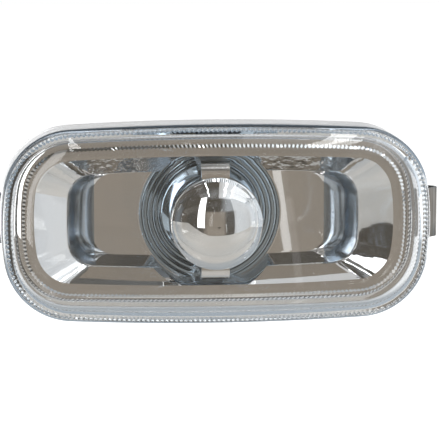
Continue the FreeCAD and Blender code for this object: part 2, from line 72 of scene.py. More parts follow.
field_width = PHOTO_SIDE_PX / PX_PER_MM * MM
to_camera = Vector((math.sin(CAMERA_AZIMUTH) * math.cos(CAMERA_ELEVATION),
                    -math.cos(CAMERA_AZIMUTH) * math.cos(CAMERA_ELEVATION),
                    math.sin(CAMERA_ELEVATION)))
aim = Vector((AIM_SHIFT_X, LENS_PLANE_Y, 0.0))
camera_data = bpy.data.cameras.new("photo_camera")
camera_data.sensor_width = SENSOR_WIDTH
camera_data.lens = SENSOR_WIDTH * CAMERA_DISTANCE / field_width
camera_data.clip_start = CLIP_START
camera_data.clip_end = CLIP_END
camera = bpy.data.objects.new("photo_camera", camera_data)
camera.location = aim + to_camera * CAMERA_DISTANCE
camera.rotation_euler = to_camera.to_track_quat("Z", "Y").to_euler()
bpy.context.scene.collection.objects.link(camera)
bpy.context.scene.camera = camera
bpy.context.scene.view_settings.view_transform = "Standard"
bpy.context.scene.cycles.max_bounces = MAX_BOUNCES
bpy.context.scene.cycles.glossy_bounces = GLOSSY_BOUNCES
bpy.context.scene.cycles.transmission_bounces = TRANSMISSION_BOUNCES
print("camera lens %.1f mm" % camera_data.lens)

# %% [markdown]
# ## Node helpers
# Materials and shapes are built from nodes in code. A few small helpers keep that readable: they add a
# node with its settings, feed a socket with a number or another socket, and wrap the nodes for sums,
# colour mixes, ramps and noise.


# %% Node helpers
def add_node(tree, kind, **settings):
    node = tree.nodes.new(kind)
    for name, value in settings.items():
        setattr(node, name, value)
    return node


def wire(tree, source, target):
    tree.links.new(source, target)


def feed(tree, value, socket):
    """Links a socket, or sets it to a plain value."""
    if isinstance(value, bpy.types.NodeSocket):
        tree.links.new(value, socket)
    else:
        socket.default_value = value


def math_node(tree, operation, a, b=None, c=None):
    node = add_node(tree, "ShaderNodeMath", operation=operation)
    for socket, value in zip(node.inputs, (a, b, c)):
        if value is not None:
            feed(tree, value, socket)
    return node.outputs[0]


def vector_node(tree, operation, a, b=None, scale=None):
    node = add_node(tree, "ShaderNodeVectorMath", operation=operation)
    feed(tree, a, node.inputs[0])
    if b is not None:
        feed(tree, b, node.inputs[1])
    if scale is not None:
        feed(tree, scale, node.inputs["Scale"])
    return node.outputs[0]


def split_xyz(tree, vector):
    node = add_node(tree, "ShaderNodeSeparateXYZ")
    wire(tree, vector, node.inputs[0])
    return node.outputs


# %% Colour helpers
def blend(tree, share, first, second):
    """Mixes two colours by a share from 0 to 1."""
    node = add_node(tree, "ShaderNodeMix", data_type="RGBA")
    feed(tree, share, node.inputs[0])
    feed(tree, first, node.inputs[6])
    feed(tree, second, node.inputs[7])
    return node.outputs[2]


def between(tree, value, low, high, to_low=0.0, to_high=1.0):
    """Maps low..high to another range and holds the ends."""
    node = add_node(tree, "ShaderNodeMapRange")
    for socket, number in zip(node.inputs, (value, low, high, to_low, to_high)):
        feed(tree, number, socket)
    return node.outputs[0]


def graded(tree, value, stops):
    """Colour ramp through (position, colour) stops, read at a value."""
    ramp = add_node(tree, "ShaderNodeValToRGB")
    points = ramp.color_ramp.elements
    while len(points) < len(stops):
        points.new(0.5)
    for point, (position, colour) in zip(points, stops):
        point.position = position
        point.color = colour
    wire(tree, value, ramp.inputs[0])
    return ramp.outputs["Color"]


def noise(tree, vector, scale, detail):
    node = add_node(tree, "ShaderNodeTexNoise")
    feed(tree, vector, node.inputs["Vector"])
    feed(tree, scale, node.inputs["Scale"])
    feed(tree, detail, node.inputs["Detail"])
    return node.outputs[0]


def new_finish(name):
    material = bpy.data.materials.new(name)
    material.use_nodes = True
    tree = material.node_tree
    shader = tree.nodes["Principled BSDF"]
    return material, tree, shader


# %% [markdown]
# ## Studio
# A chrome and glass object shows little of its own colour: it shows the room. The ball in the
# photograph mirrors that room, so it can be read there: a pale sheet underneath, a tent with a slot in
# its front where the camera stands, a brown room behind the slot, a tall white light at the left, a
# grey fabric wall at the right, and a pale backdrop behind the lamp that turns blue-grey further up.

# %% World
WHITE = (1.0, 1.0, 1.0, 1.0)
ROOM_BROWN = (0.33, 0.285, 0.235, 1.0)
ROOM_DARK = (0.085, 0.075, 0.062, 1.0)
ROOM_COOL = (0.42, 0.44, 0.46, 1.0)
BACK_BLUE = (0.36, 0.43, 0.50, 1.0)
# each edge is the pair of ray components between which one part of the room fades into the next
ROOF_EDGE = (0.31, 0.38)
BACKDROP_EDGE = (0.95, 0.985)
UPPER_LEFT_EDGE_X = (-0.25, -0.45)
UPPER_LEFT_EDGE_Z = (0.30, 0.45)
FRONT_BACK_EDGE = (-0.05, 0.12)
world = bpy.data.worlds.new("studio_room")
bpy.context.scene.world = world
world.use_nodes = True
wt = world.node_tree
wt.nodes.clear()
ray = split_xyz(wt, add_node(wt, "ShaderNodeTexCoord").outputs["Generated"])
# the ramps run from the far left at 0 to the far right at 1
sideways = math_node(wt, "MULTIPLY_ADD", ray["X"], 0.5, 0.5)
front_wall = graded(wt, sideways, [(0.0, ROOM_DARK), (0.28, ROOM_DARK), (0.37, ROOM_BROWN),
                                   (0.62, ROOM_BROWN), (0.67, ROOM_DARK), (0.77, ROOM_DARK),
                                   (0.82, ROOM_COOL)])
front_roof = graded(wt, sideways, [(0.0, ROOM_DARK), (0.58, ROOM_DARK), (0.68, ROOM_COOL)])
room_front = blend(wt, between(wt, ray["Z"], *ROOF_EDGE), front_wall, front_roof)
room_back = blend(wt, between(wt, ray["Y"], *BACKDROP_EDGE), BACK_BLUE, WHITE)
upper_left = math_node(wt, "MULTIPLY", between(wt, ray["X"], *UPPER_LEFT_EDGE_X),
                       between(wt, ray["Z"], *UPPER_LEFT_EDGE_Z))
room_back = blend(wt, upper_left, room_back, ROOM_DARK)
room_colour = blend(wt, between(wt, ray["Y"], *FRONT_BACK_EDGE), room_front, room_back)
room = add_node(wt, "ShaderNodeBackground")
wire(wt, room_colour, room.inputs["Color"])
white_sky = add_node(wt, "ShaderNodeBackground")
white_sky.inputs["Color"].default_value = WHITE
sky_mix = add_node(wt, "ShaderNodeMixShader")
wire(wt, add_node(wt, "ShaderNodeLightPath").outputs["Is Camera Ray"], sky_mix.inputs[0])
wire(wt, room.outputs[0], sky_mix.inputs[1])
wire(wt, white_sky.outputs[0], sky_mix.inputs[2])
wire(wt, sky_mix.outputs[0], add_node(wt, "ShaderNodeOutputWorld").inputs["Surface"])
print("room colours set")

# %% [markdown]
# The floor is a pale sheet. It glows just enough to join the white backdrop behind the lamp, also where
# the chrome and the lens look at it, and its diffuse part still takes the lamp's shadow. The ball shows
# a warm pale grey at the front of the sheet and a slanted edge at its left. Right under the lamp the glow
# that the chrome and the lens see is a painted shade, a blue-grey that the lower edge of the lens shows.

# %% Floor
FLOOR_Z = -0.05
FLOOR_FRONT_Y = -0.115
FLOOR_BACK_Y = 1.6
FLOOR_HALF_X = 1.2
FLOOR_LEFT_Y = -0.90
FLOOR_KINK_X = -0.03
FLOOR_GLOW_NEAR = (0.80, 0.80, 0.80, 1.0)
FLOOR_FRONT_WARM = (0.44, 0.41, 0.37, 1.0)
# painted shade: the blue-grey glow that chrome and glass see under the lamp stands in for its shadow
FLOOR_PAINTED_SHADE_BLUE = (0.11, 0.16, 0.21, 1.0)
FLOOR_PAPER = (0.30, 0.295, 0.285, 1.0)
FLOOR_ROUGHNESS = 0.9
SHADE_EDGE_Y = (-0.020, 0.004)
BACKDROP_EDGE_Y = (0.036, 0.044)
MIRRORED_BACKDROP_EDGE_Y = (0.10, 0.16)
floor_mesh = bpy.data.meshes.new("studio_floor")
floor_mesh.from_pydata([(-FLOOR_HALF_X, FLOOR_LEFT_Y, FLOOR_Z), (FLOOR_KINK_X, FLOOR_FRONT_Y, FLOOR_Z),
                        (FLOOR_HALF_X, FLOOR_FRONT_Y, FLOOR_Z), (FLOOR_HALF_X, FLOOR_BACK_Y, FLOOR_Z),
                        (-FLOOR_HALF_X, FLOOR_BACK_Y, FLOOR_Z)], [], [(0, 1, 2, 3, 4)])
floor = bpy.data.objects.new("studio_floor", floor_mesh)
bpy.context.scene.collection.objects.link(floor)
floor_finish, ft, floor_shader = new_finish("floor_paper")
floor_shader.inputs["Base Color"].default_value = FLOOR_PAPER
floor_shader.inputs["Roughness"].default_value = FLOOR_ROUGHNESS
floor_at = split_xyz(ft, add_node(ft, "ShaderNodeTexCoord").outputs["Object"])
seen_glow = blend(ft, between(ft, floor_at["Y"], *BACKDROP_EDGE_Y), FLOOR_GLOW_NEAR, WHITE)
# painted shade: the mirrored glow grades from the warm front to the painted blue-grey shade under the lamp
under = blend(ft, between(ft, floor_at["Y"], *SHADE_EDGE_Y), FLOOR_FRONT_WARM, FLOOR_PAINTED_SHADE_BLUE)
mirrored_glow = blend(ft, between(ft, floor_at["Y"], *MIRRORED_BACKDROP_EDGE_Y), under, WHITE)
floor_path = add_node(ft, "ShaderNodeLightPath").outputs
glow = blend(ft, floor_path["Is Camera Ray"], mirrored_glow, seen_glow)
mirrored = math_node(ft, "MAXIMUM", floor_path["Is Glossy Ray"], floor_path["Is Transmission Ray"])
floor_glow = add_node(ft, "ShaderNodeEmission")
wire(ft, glow, floor_glow.inputs["Color"])
wire(ft, math_node(ft, "MAXIMUM", mirrored, floor_path["Is Camera Ray"]), floor_glow.inputs["Strength"])
floor_sum = add_node(ft, "ShaderNodeAddShader")
wire(ft, floor_shader.outputs[0], floor_sum.inputs[0])
wire(ft, floor_glow.outputs[0], floor_sum.inputs[1])
wire(ft, floor_sum.outputs[0], ft.nodes["Material Output"].inputs["Surface"])
floor_mesh.materials.append(floor_finish)
print("floor at", FLOOR_Z)


# %% [markdown]
# The lights are the tent's own parts: the tall light at the left of the camera's slot, two bright tubes
# under the roof, the roof sheets at the right and at the back, the grey fabric at the right, and one
# bright fold along the slot's edge, which the flat right panel of the reflector mirrors as a thin pale
# streak. A last light stands behind the lamp for the views of its rear, and only matt surfaces see it.


# %% Soft lights
def soft_light(name, place, size, radiance, facing, lean=0.0):
    """Area light of an even brightness; a light that faces the floor is left unturned."""
    data = bpy.data.lights.new(name, "AREA")
    data.shape = "RECTANGLE"
    data.size, data.size_y = size
    data.energy = radiance * math.pi * size[0] * size[1]
    lamp = bpy.data.objects.new(name, data)
    turn = Quaternion() if facing == TO_FLOOR else Vector(facing).to_track_quat("-Z", "Y")
    lamp.rotation_euler = (Quaternion((0.0, 1.0, 0.0), math.radians(lean)) @ turn).to_euler()
    lamp.location = place
    lamp.visible_camera = False
    bpy.context.scene.collection.objects.link(lamp)
    return lamp


TO_FLOOR = (0.0, 0.0, -1.0)
TO_BACK = (0.0, 1.0, 0.0)
TO_LEFT = (-1.0, 0.0, 0.0)
# name, place, width and height, radiance, facing and lean in degrees; lengths in metres
TENT_LIGHTS = [
    ("strip_left", (-0.061, -0.115, 0.055), (0.034, 0.150), 3.0, TO_BACK, 0.0),
    ("roof_tube_left", (-0.0318, -0.050, 0.130), (0.0035, 0.120), 9.0, TO_FLOOR, 0.0),
    ("roof_right", (0.0520, -0.050, 0.131), (0.068, 0.160), 0.62, TO_FLOOR, 0.0),
    ("roof_tube_right", (0.0460, -0.050, 0.130), (0.0075, 0.120), 8.0, TO_FLOOR, 0.0),
    ("roof_far_right", (0.170, -0.010, 0.145), (0.165, 0.240), 0.95, TO_FLOOR, 0.0),
    ("tent_front_right", (0.165, -0.115, 0.040), (0.176, 0.180), 0.45, TO_BACK, 0.0),
    ("tent_side_right", (0.254, 0.000, 0.040), (0.230, 0.180), 0.50, TO_LEFT, 0.0),
    ("roof_back", (0.0, 0.075, 0.130), (0.160, 0.080), 1.2, TO_FLOOR, 0.0),
    ("slot_fold", (0.0234, -0.075, -0.0125), (0.0018, 0.021), 0.50, TO_BACK, -8.0),
]
for light in TENT_LIGHTS:
    soft_light(*light)
REAR_PLACE = (-0.12, 0.38, 0.26)
REAR_SIZE = (0.30, 0.30)
REAR_RADIANCE = 6.0
rear_fill = soft_light("rear_fill", REAR_PLACE, REAR_SIZE, REAR_RADIANCE, [-v for v in REAR_PLACE])
rear_fill.visible_glossy = False
rear_fill.visible_transmission = False

# %% [markdown]
# ## Shared surface effects
# Four effects turn up on several pieces of the lamp: a patchy haze left by handling, the fine lines of
# drawn or brushed metal, the grain of a moulded surface, and a few specks of dust. Each is a node group
# that is built once and placed in every finish that needs it, with its own sizes.

# %% Effect groups
ORIGIN = (0.0, 0.0, 0.0)
CLOUD_RANGE = (0.35, 0.68)
FINE_GRAIN_SHARE = 0.6


def effect_group(name, inputs, result):
    """Starts a shader group; inputs are (label, kind, value), result names the one output."""
    tree = bpy.data.node_groups.new(name, "ShaderNodeTree")
    for label, kind, value in inputs:
        socket = tree.interface.new_socket(label, in_out="INPUT", socket_type="NodeSocket" + kind)
        socket.default_value = value
    tree.interface.new_socket(result, in_out="OUTPUT", socket_type="NodeSocketFloat")
    given = add_node(tree, "NodeGroupInput").outputs
    return tree, given, add_node(tree, "NodeGroupOutput").inputs[result]


def use_effect(tree, group, **values):
    """Places a group in a finish and returns its output."""
    node = add_node(tree, "ShaderNodeGroup", node_tree=group)
    for label, value in values.items():
        feed(tree, value, node.inputs[label])
    return node.outputs[0]


haze_inputs = [("Place", "Vector", ORIGIN), ("Scale", "Float", 90.0), ("Low", "Float", 0.0),
               ("High", "Float", 1.0)]
haze, given, result = effect_group("handling_haze", haze_inputs, "Value")
cloud = noise(haze, given["Place"], given["Scale"], 5.0)
wire(haze, between(haze, cloud, *CLOUD_RANGE, given["Low"], given["High"]), result)

line_inputs = [("Place", "Vector", ORIGIN), ("Stretch", "Vector", (900.0, 900.0, 30.0))]
drawn_lines, given, result = effect_group("drawn_lines", line_inputs, "Height")
stretched = vector_node(drawn_lines, "MULTIPLY", given["Place"], given["Stretch"])
wire(drawn_lines, noise(drawn_lines, stretched, 1.0, 4.0), result)

grain_inputs = [("Place", "Vector", ORIGIN), ("Scale", "Float", 1800.0)]
grain, given, result = effect_group("moulded_grain", grain_inputs, "Height")
cells = add_node(grain, "ShaderNodeTexVoronoi", feature="SMOOTH_F1")
wire(grain, given["Place"], cells.inputs["Vector"])
wire(grain, given["Scale"], cells.inputs["Scale"])
fine_grain = noise(grain, given["Place"], given["Scale"], 2.0)
wire(grain, math_node(grain, "MULTIPLY_ADD", fine_grain, FINE_GRAIN_SHARE, cells.outputs["Distance"]), result)

speck_inputs = [("Place", "Vector", ORIGIN), ("Scale", "Float", 260.0), ("Size", "Float", 0.03),
                ("Share", "Float", 0.25)]
specks, given, result = effect_group("dust_specks", speck_inputs, "Mask")
spots = add_node(specks, "ShaderNodeTexVoronoi")
wire(specks, given["Place"], spots.inputs["Vector"])
wire(specks, given["Scale"], spots.inputs["Scale"])
chosen = math_node(specks, "LESS_THAN", split_xyz(specks, spots.outputs["Color"])["X"], given["Share"])
near_spot = math_node(specks, "LESS_THAN", spots.outputs["Distance"], given["Size"])
wire(specks, math_node(specks, "MULTIPLY", chosen, near_spot), result)
print("effect groups:", [g.name for g in (haze, drawn_lines, grain, specks)])


# %% Finish helpers
OFF_AXIS = (1.0, 0.0, 1.0)
DUST_GREY = (0.42, 0.40, 0.37, 1.0)


def start_finish(name, metallic, roughness=0.5):
    """New material with its Object coordinates ready to use."""
    material, tree, shader = new_finish(name)
    shader.inputs["Metallic"].default_value = metallic
    shader.inputs["Roughness"].default_value = roughness
    return material, tree, shader, add_node(tree, "ShaderNodeTexCoord").outputs


def add_bump(tree, shader, height, depth):
    """Bump from a height of about 0 to 1 that stands for a depth in metres."""
    bump = add_node(tree, "ShaderNodeBump")
    bump.inputs["Strength"].default_value = 1.0
    bump.inputs["Distance"].default_value = 1.0
    wire(tree, math_node(tree, "MULTIPLY", height, depth), bump.inputs["Height"])
    wire(tree, bump.outputs[0], shader.inputs["Normal"])


def axis_distance(tree, place):
    """Distance of a place from the lamp's Y axis."""
    reach = add_node(tree, "ShaderNodeVectorMath", operation="LENGTH")
    wire(tree, vector_node(tree, "MULTIPLY", place, OFF_AXIS), reach.inputs[0])
    return reach.outputs["Value"]


# %% [markdown]
# ## Reflector finish
# The reflector is one moulding. Its front is metallised in a vacuum, so it is a mirror with the slight
# ripple of the plastic below, strongest on the slope that looks down. On the steep end walls and on the
# flange's edge the metal's colour is a painted reflection: darker and bluer, standing in for the blue-grey
# room mirrored there. The metal is also duller there and in the well. The back keeps the bare plastic. One
# mask tells the two apart: the front ring, and inside the tray every face that looks forwards or inwards.

# %% Reflector metallising
FRONT_RING_Y = -1.45 * MM
FLANGE_FRONT_Y = -3.29 * MM
FLANGE_SATIN = 0.5
LIP_Y = -0.7 * MM
CUP_REAR_Y = 9.2 * MM
TRAY_HALF_X = 26.8 * MM
TRAY_HALF_Z = 12.0 * MM
RIPPLE_SLOPE = 0.050 * MM
RIPPLE_FLAT = 0.0010 * MM
RIPPLE_SCALE = 560.0
RIPPLE_EDGE = (-0.35, -0.65)
WELL_R = 13.1 * MM
WELL_FRONT_Y = -0.4 * MM
SATIN = 0.17
BARE_ROUGHNESS = 0.46
BARE_GRAIN = 0.012 * MM
RAMP_HALF_X = 20.9 * MM
INWARD_MIN = 0.03
EDGE_MIN = -0.5
DUST_SHARE = 0.55
BARE_PLASTIC = (0.115, 0.116, 0.120, 1.0)
BARE_PLASTIC_WORN = (0.150, 0.150, 0.152, 1.0)
METAL_WARM = (0.885, 0.875, 0.860, 1.0)
METAL_COOL = (0.845, 0.855, 0.865, 1.0)
# painted reflection: darker, bluer metal colours for the steep end walls and the flange's edge
METAL_STEEP_PAINTED_REFLECTION = (0.50, 0.565, 0.63, 1.0)
METAL_FLANGE_PAINTED_REFLECTION = (0.66, 0.73, 0.80, 1.0)
chrome, ct, cs, coords = start_finish("reflector_metallising", 1.0)
at = split_xyz(ct, coords["Object"])
turned = split_xyz(ct, coords["Normal"])


def less(a, b):
    return math_node(ct, "LESS_THAN", a, b)


def both(a, b):
    return math_node(ct, "MULTIPLY", a, b)


inward_x = both(both(turned["X"], at["X"]), -1.0 / TRAY_HALF_X)
inward_z = both(both(turned["Z"], at["Z"]), -1.0 / TRAY_HALF_Z)
inward = math_node(ct, "SUBTRACT", math_node(ct, "ADD", inward_x, inward_z), turned["Y"])
faces_in = less(INWARD_MIN, inward)
side_x = math_node(ct, "ABSOLUTE", at["X"])
side_z = math_node(ct, "ABSOLUTE", at["Z"])
in_tray = both(both(less(side_x, TRAY_HALF_X), less(side_z, TRAY_HALF_Z)), less(at["Y"], CUP_REAR_Y))
metallised = math_node(ct, "MAXIMUM", in_tray, less(at["Y"], LIP_Y))
metallised = math_node(ct, "MAXIMUM", both(metallised, faces_in), less(at["Y"], FRONT_RING_Y))
dust = use_effect(ct, specks, Place=coords["Object"], Scale=210.0, Size=0.028, Share=0.22)
mottle = use_effect(ct, haze, Place=coords["Object"], Scale=60.0)
metal_colour = blend(ct, mottle, METAL_WARM, METAL_COOL)
on_ramp = both(less(RAMP_HALF_X, side_x), less(WELL_FRONT_Y, at["Y"]))
# painted reflection: the steep end walls get a darker, bluer metal colour
metal_colour = blend(ct, on_ramp, metal_colour, METAL_STEEP_PAINTED_REFLECTION)
flange_edge = both(less(FLANGE_FRONT_Y, at["Y"]), less(at["Y"], FRONT_RING_Y))
flange_edge = both(flange_edge, less(EDGE_MIN, turned["Y"]))
# painted reflection: the flange's edge gets a bluer metal colour
metal_colour = blend(ct, flange_edge, metal_colour, METAL_FLANGE_PAINTED_REFLECTION)
metal_colour = blend(ct, both(dust, DUST_SHARE), metal_colour, DUST_GREY)
bare_colour = blend(ct, mottle, BARE_PLASTIC, BARE_PLASTIC_WORN)
wire(ct, blend(ct, metallised, bare_colour, metal_colour), cs.inputs["Base Color"])
wire(ct, metallised, cs.inputs["Metallic"])
mirror_rough = use_effect(ct, haze, Place=coords["Object"], Scale=140.0, Low=0.012, High=0.040)
in_well = both(less(axis_distance(ct, coords["Object"]), WELL_R), less(WELL_FRONT_Y, at["Y"]))
satin_share = math_node(ct, "MAXIMUM", in_well, on_ramp)
mirror_rough = between(ct, satin_share, 0.0, 1.0, mirror_rough, SATIN)
mirror_rough = between(ct, flange_edge, 0.0, 1.0, mirror_rough, FLANGE_SATIN)
wire(ct, between(ct, metallised, 0.0, 1.0, BARE_ROUGHNESS, mirror_rough), cs.inputs["Roughness"])
slope_share = between(ct, turned["Z"], *RIPPLE_EDGE)
ripple_depth = between(ct, slope_share, 0.0, 1.0, RIPPLE_FLAT, RIPPLE_SLOPE)
ripple = both(noise(ct, coords["Object"], RIPPLE_SCALE, 2.0), ripple_depth)
bare_grain = both(use_effect(ct, grain, Place=coords["Object"], Scale=2400.0), BARE_GRAIN)
add_bump(ct, cs, between(ct, metallised, 0.0, 1.0, bare_grain, ripple), 1.0)
print("reflector finish ready")

# %% Ring metallising
# painted reflection: the ring metal is tinted blue-grey, standing in for the blue-grey room it mirrors
RING_PAINTED_REFLECTION_BLUE = (0.60, 0.72, 0.83, 1.0)
RING_PAINTED_REFLECTION_SLATE = (0.54, 0.66, 0.78, 1.0)
RING_RIPPLE = 0.002 * MM
ring_chrome, gt, gs, coords = start_finish("ring_metallising", 1.0)
mottle = use_effect(gt, haze, Place=coords["Object"], Scale=80.0)
wire(gt, blend(gt, mottle, RING_PAINTED_REFLECTION_BLUE, RING_PAINTED_REFLECTION_SLATE), gs.inputs["Base Color"])
ring_rough = use_effect(gt, haze, Place=coords["Object"], Scale=180.0, Low=0.07, High=0.13)
wire(gt, ring_rough, gs.inputs["Roughness"])
add_bump(gt, gs, noise(gt, coords["Object"], 300.0, 2.0), RING_RIPPLE)
print("ring finish ready")

# %% [markdown]
# ## Ball, bulb and wires
# The ball is the same bright metallising on a smooth cap, with only a breath of haze. The bulb behind
# it is silvered glass with a slightly smoky base, and its lead wires are drawn nickel.

# %% Ball chrome
ARM_ROOT_R = 8.4 * MM
ARM_BLUR = 0.4 * MM
ARM_SATIN = 0.22
BALL_WARM = (0.90, 0.885, 0.865, 1.0)
BALL_COOL = (0.875, 0.870, 0.862, 1.0)
BALL_DUST = (0.45, 0.43, 0.40, 1.0)
BALL_DUST_SHARE = 0.5
BALL_RIPPLE = 0.0016 * MM
ball_chrome, bt, bs, coords = start_finish("ball_chrome", 1.0)
mottle = use_effect(bt, haze, Place=coords["Object"], Scale=70.0)
dust = use_effect(bt, specks, Place=coords["Object"], Scale=330.0, Size=0.03, Share=0.16)
ball_colour = blend(bt, mottle, BALL_WARM, BALL_COOL)
dust_share = math_node(bt, "MULTIPLY", dust, BALL_DUST_SHARE)
wire(bt, blend(bt, dust_share, ball_colour, BALL_DUST), bs.inputs["Base Color"])
ball_rough = use_effect(bt, haze, Place=coords["Object"], Scale=160.0, Low=0.010, High=0.034)
on_arm = between(bt, axis_distance(bt, coords["Object"]), ARM_ROOT_R, ARM_ROOT_R + ARM_BLUR)
wire(bt, between(bt, on_arm, 0.0, 1.0, ball_rough, ARM_SATIN), bs.inputs["Roughness"])
add_bump(bt, bs, noise(bt, coords["Object"], 260.0, 2.0), BALL_RIPPLE)

# %% Silvered bulb and wires
SILVER_CLEAR = (0.82, 0.80, 0.77, 1.0)
SILVER_SMOKY = (0.62, 0.59, 0.55, 1.0)
SMOKE_END_Y = 8.0 * MM
NICKEL_DARK = (0.52, 0.50, 0.47, 1.0)
NICKEL_LIGHT = (0.70, 0.68, 0.64, 1.0)
silvered, vt, vs, coords = start_finish("silvered_bulb", 1.0)
smoke = between(vt, split_xyz(vt, coords["Object"])["Y"], 0.0, SMOKE_END_Y)
wire(vt, blend(vt, smoke, SILVER_CLEAR, SILVER_SMOKY), vs.inputs["Base Color"])
bulb_rough = use_effect(vt, haze, Place=coords["Object"], Scale=240.0, Low=0.04, High=0.14)
wire(vt, bulb_rough, vs.inputs["Roughness"])
nickel, nt, ns, coords = start_finish("nickel_wire", 1.0)
drawn = use_effect(nt, drawn_lines, Place=coords["Object"], Stretch=(4200.0, 300.0, 4200.0))
wire(nt, blend(nt, drawn, NICKEL_DARK, NICKEL_LIGHT), ns.inputs["Base Color"])
wire(nt, between(nt, drawn, 0.3, 0.7, 0.22, 0.38), ns.inputs["Roughness"])
print("bright finishes ready")

# %% [markdown]
# ## Lens plastic
# The lens is clear acrylic. It is plain glass to the renderer, with a faint blue-grey tint in its
# depth, which shows only where one looks along the wall, and the slight waviness of a moulded face. Where
# its skirt is welded to the housing the inner faces are frosted.

# %% Clear acrylic
WELD_FRONT_Y = -3.4 * MM
WELD_BLUR = 0.3 * MM
WELD_FROST = 0.20
OUTER_FACE_MIN = 5.0 * MM
ACRYLIC_IOR = 1.49
ACRYLIC_CLEAR = (0.985, 0.992, 1.0, 1.0)
ACRYLIC_HAZE = (0.97, 0.98, 0.985, 1.0)
ACRYLIC_TINT = (0.37, 0.47, 0.56, 1.0)
TINT_DENSITY = 25.0
ACRYLIC_WAVE = 0.0012 * MM
clear, lt, ls, coords = start_finish("lens_acrylic", 0.0, 0.0)
ls.inputs["Transmission Weight"].default_value = 1.0
ls.inputs["IOR"].default_value = ACRYLIC_IOR
mottle = use_effect(lt, haze, Place=coords["Object"], Scale=50.0)
wire(lt, blend(lt, mottle, ACRYLIC_CLEAR, ACRYLIC_HAZE), ls.inputs["Base Color"])
tint = add_node(lt, "ShaderNodeVolumeAbsorption")
tint.inputs["Color"].default_value = ACRYLIC_TINT
tint.inputs["Density"].default_value = TINT_DENSITY
wire(lt, tint.outputs[0], lt.nodes["Material Output"].inputs["Volume"])
faces_out = add_node(lt, "ShaderNodeVectorMath", operation="DOT_PRODUCT")
wire(lt, coords["Normal"], faces_out.inputs[0])
wire(lt, vector_node(lt, "MULTIPLY", coords["Object"], OFF_AXIS), faces_out.inputs[1])
depth = split_xyz(lt, coords["Object"])["Y"]
weld = between(lt, depth, WELD_FRONT_Y, WELD_FRONT_Y + WELD_BLUR, 0.0, WELD_FROST)
inside = math_node(lt, "LESS_THAN", faces_out.outputs["Value"], OUTER_FACE_MIN)
wire(lt, math_node(lt, "MULTIPLY", weld, inside), ls.inputs["Roughness"])
add_bump(lt, ls, noise(lt, coords["Object"], 150.0, 1.0), ACRYLIC_WAVE)
print("lens finish ready")

# %% [markdown]
# ## Steel, brass, plastic and rubber
# The clip is tempered spring steel: grey with a brown cast, drawn lines along the strip and lighter
# where it has rubbed. The contacts are pressed brass with some tarnish. The bulb holder is grained
# polyamide, the seal is moulded rubber and the gasket is closed-cell foam.

# %% Spring steel
STEEL_DARK = (0.135, 0.118, 0.100, 1.0)
STEEL_LIGHT = (0.360, 0.330, 0.295, 1.0)
RUBBED_SHARE = 0.35
STEEL_LINES = 0.006 * MM
steel, st, ss, coords = start_finish("spring_steel", 1.0)
bands = use_effect(st, drawn_lines, Place=coords["Object"], Stretch=(1500.0, 1500.0, 22.0))
rubbed = use_effect(st, haze, Place=coords["Object"], Scale=190.0)
steel_colour = blend(st, between(st, bands, 0.32, 0.68), STEEL_DARK, STEEL_LIGHT)
rubbed_share = math_node(st, "MULTIPLY", rubbed, RUBBED_SHARE)
wire(st, blend(st, rubbed_share, steel_colour, DUST_GREY), ss.inputs["Base Color"])
wire(st, between(st, bands, 0.3, 0.7, 0.42, 0.27), ss.inputs["Roughness"])
add_bump(st, ss, bands, STEEL_LINES)
print("steel ready")

# %% Brass
BRASS_BRIGHT = (0.80, 0.64, 0.33, 1.0)
BRASS_TARNISHED = (0.52, 0.37, 0.17, 1.0)
BRASS_LINES = 0.003 * MM
brass, rt, rs, coords = start_finish("contact_brass_finish", 1.0)
pressed = use_effect(rt, drawn_lines, Place=coords["Object"], Stretch=(2600.0, 120.0, 2600.0))
tarnish = use_effect(rt, haze, Place=coords["Object"], Scale=260.0)
wire(rt, blend(rt, tarnish, BRASS_BRIGHT, BRASS_TARNISHED), rs.inputs["Base Color"])
wire(rt, between(rt, pressed, 0.3, 0.7, 0.20, 0.40), rs.inputs["Roughness"])
add_bump(rt, rs, pressed, BRASS_LINES)
print("brass ready")


# %% Moulded plastic, rubber and foam
LINT_GREY = (0.38, 0.37, 0.35, 1.0)
LINT_SHARE = 0.4


def moulded_finish(name, colour, worn, roughness, grain_scale, grain_depth):
    """Matt moulded surface: patchy colour and gloss, and a grain of its own size."""
    material, tree, shader, coords = start_finish(name, 0.0)
    patch = use_effect(tree, haze, Place=coords["Object"], Scale=170.0)
    lint = use_effect(tree, specks, Place=coords["Object"], Scale=480.0, Size=0.05, Share=0.10)
    surface = blend(tree, patch, colour, worn)
    surface = blend(tree, math_node(tree, "MULTIPLY", lint, LINT_SHARE), surface, LINT_GREY)
    wire(tree, surface, shader.inputs["Base Color"])
    wire(tree, between(tree, patch, 0.0, 1.0, roughness[0], roughness[1]), shader.inputs["Roughness"])
    add_bump(tree, shader, use_effect(tree, grain, Place=coords["Object"], Scale=grain_scale), grain_depth)
    return material


polyamide = moulded_finish("holder_polyamide", (0.170, 0.171, 0.175, 1.0), (0.215, 0.215, 0.218, 1.0),
                           (0.50, 0.38), 2600.0, 0.016 * MM)
rubber = moulded_finish("seal_rubber_finish", (0.036, 0.036, 0.037, 1.0), (0.060, 0.059, 0.058, 1.0),
                        (0.70, 0.52), 3200.0, 0.010 * MM)
foam = moulded_finish("gasket_foam_finish", (0.050, 0.050, 0.051, 1.0), (0.078, 0.077, 0.075, 1.0),
                      (0.95, 0.85), 1500.0, 0.075 * MM)
print("moulded finishes ready")

# %% Dress the CAD nodes
dress = {"reflector_housing": chrome, "bulb_shield": ball_chrome, "bulb": silvered,
         "bulb_lead_wires": nickel, "bulb_holder": polyamide, "contact_left": brass, "contact_right": brass,
         "holder_seal": rubber, "panel_gasket": foam, "spring_clip": steel}
for node_name, finish in dress.items():
    cad_nodes[node_name].material_slots[0].material = finish
print("dressed", len(dress), "nodes")

